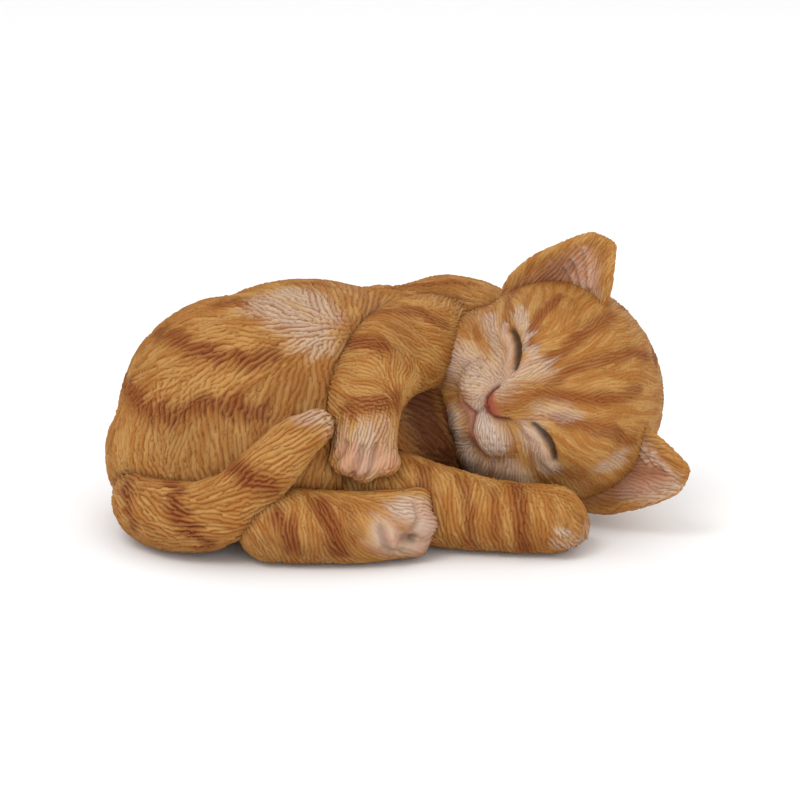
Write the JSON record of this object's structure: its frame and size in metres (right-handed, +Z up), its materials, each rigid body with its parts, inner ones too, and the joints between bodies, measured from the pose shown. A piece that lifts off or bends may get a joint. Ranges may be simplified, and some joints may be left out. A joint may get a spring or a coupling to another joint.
{
  "type": "cat figurine",
  "caption": "Sleeping tabby kitten ornament: a curled body, head, ears, legs and tail cast in resin and bonded together, on felt pads.",
  "frame": {"origin": "on the resting plane, below the middle of the figure's box", "axes": "+X from the rump to the crown, +Z up, -Y the side of the face and belly"},
  "size_m": [0.1678, 0.106, 0.0853],
  "materials": {
    "body_casting": "hand-painted filled resin, satin matte",
    "head_casting": "hand-painted filled resin, satin matte",
    "right_ear_casting": "hand-painted filled resin, satin matte",
    "left_ear_casting": "hand-painted filled resin, satin matte",
    "upper_foreleg_casting": "hand-painted filled resin, satin matte",
    "lower_foreleg_casting": "hand-painted filled resin, satin matte",
    "hind_leg_casting": "hand-painted filled resin, satin matte",
    "tail_casting": "hand-painted filled resin, satin matte",
    "pour_hole_plug": "bare filled resin, ground flat",
    "felt_pad": "black wool felt"
  },
  "bodies": {
    "root": {"body_casting": "body_casting", "head_casting": "head_casting", "right_ear_casting": "right_ear_casting", "left_ear_casting": "left_ear_casting", "upper_foreleg_casting": "upper_foreleg_casting", "lower_foreleg_casting": "lower_foreleg_casting", "hind_leg_casting": "hind_leg_casting", "tail_casting": "tail_casting", "pour_hole_plug": "pour_hole_plug", "felt_pad_rump": "felt_pad", "felt_pad_chest": "felt_pad", "felt_pad_hind_leg": "felt_pad", "felt_pad_foreleg": "felt_pad"}
  },
  "joints": []
}
